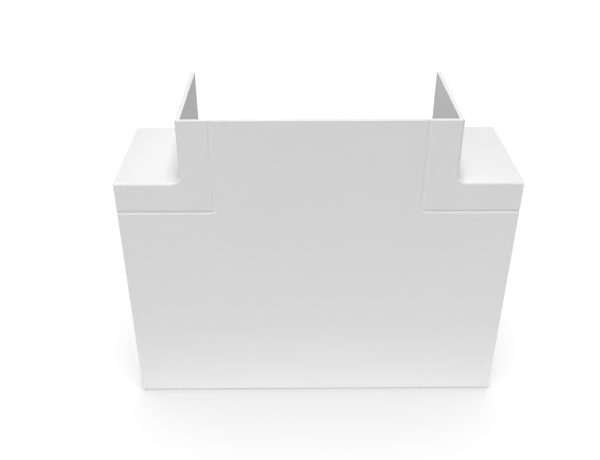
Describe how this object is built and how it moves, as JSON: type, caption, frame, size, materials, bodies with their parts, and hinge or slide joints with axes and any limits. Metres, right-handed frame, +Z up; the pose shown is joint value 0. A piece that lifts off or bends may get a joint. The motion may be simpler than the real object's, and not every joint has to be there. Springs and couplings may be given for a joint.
{
  "type": "trunking tee fitting",
  "caption": "Flat tee cover for rectangular cable trunking: an open-backed white plastic hood with a straight run, a side branch and a fine line round each inside corner.",
  "frame": {"origin": "centre of the bottom of the cover, on the surface that it stands on, half way along the run and half way between the face and the rim", "axes": "+X along the run, +Y from the flat face back to the open rim, +Z up along the branch"},
  "size_m": [0.1538, 0.0514, 0.1288],
  "materials": {
    "white_plastic": "fine satin moulded surface, bright neutral white"
  },
  "bodies": {
    "root": {"tee_cover": "white_plastic"}
  },
  "joints": []
}
